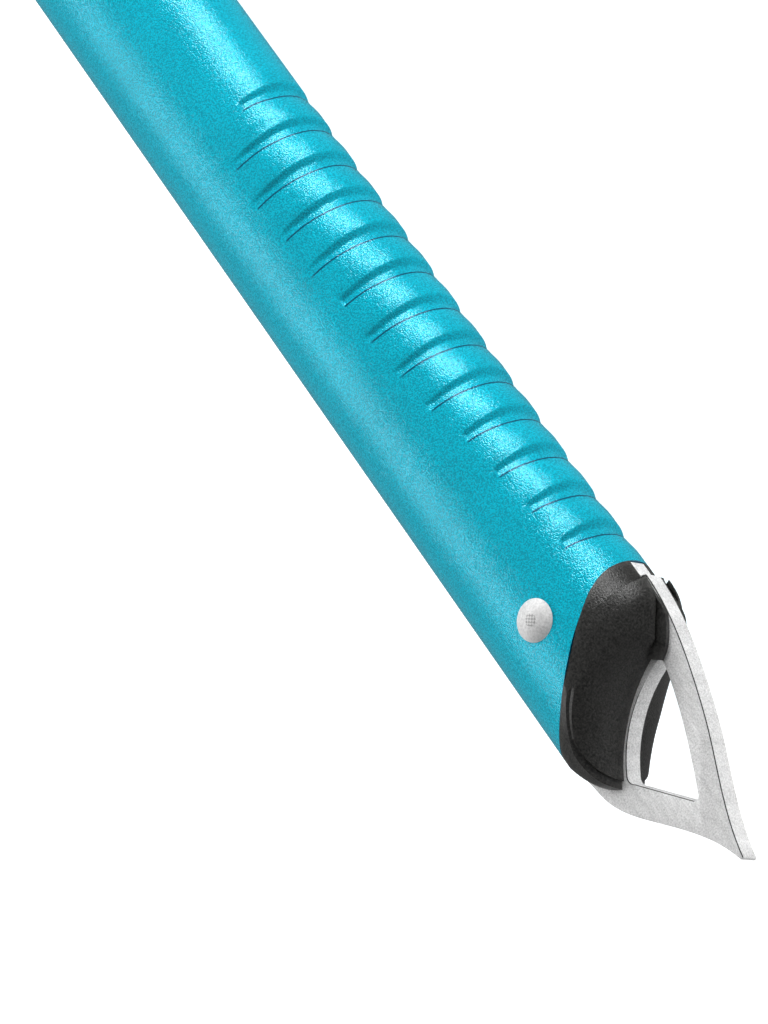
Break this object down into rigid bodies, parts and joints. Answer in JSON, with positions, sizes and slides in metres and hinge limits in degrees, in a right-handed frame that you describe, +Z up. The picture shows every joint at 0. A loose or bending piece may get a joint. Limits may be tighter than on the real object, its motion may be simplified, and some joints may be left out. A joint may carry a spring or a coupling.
{
  "type": "ice axe",
  "caption": "Mountaineering ice axe with a bent, ribbed shaft, a flat spike with a three-sided eye, a toothed pick and an adze.",
  "frame": {"origin": "middle of the underside of the axe's box, with the axe lying on its side", "axes": "+X runs down the straight lower shaft from the head to the spike, +Y is the pick side, +Z is up, out of the side with the bolt heads"},
  "size_m": [0.5038, 0.2072, 0.046],
  "materials": {
    "shaft": "fine textured metallic",
    "steel": "fine blasted",
    "plug": "fine grained",
    "rivet": "satin",
    "head": "blasted, dark anodised",
    "seal": "matt",
    "bolt": "zinc plated"
  },
  "bodies": {
    "root": {"shaft_tube": "shaft", "spike": "steel", "spike_plug_left": "plug", "spike_plug_right": "plug", "spike_rivet": "rivet", "head_rivet_upper": "rivet", "head_rivet_lower": "rivet", "head_body": "head", "head_gasket": "seal", "pick": "steel", "adze": "steel", "front_bolt": "bolt", "front_nut": "bolt", "front_bolt_washer": "bolt", "front_nut_washer": "bolt", "rear_bolt": "bolt", "rear_nut": "bolt", "rear_bolt_washer": "bolt", "rear_nut_washer": "bolt"}
  },
  "joints": []
}
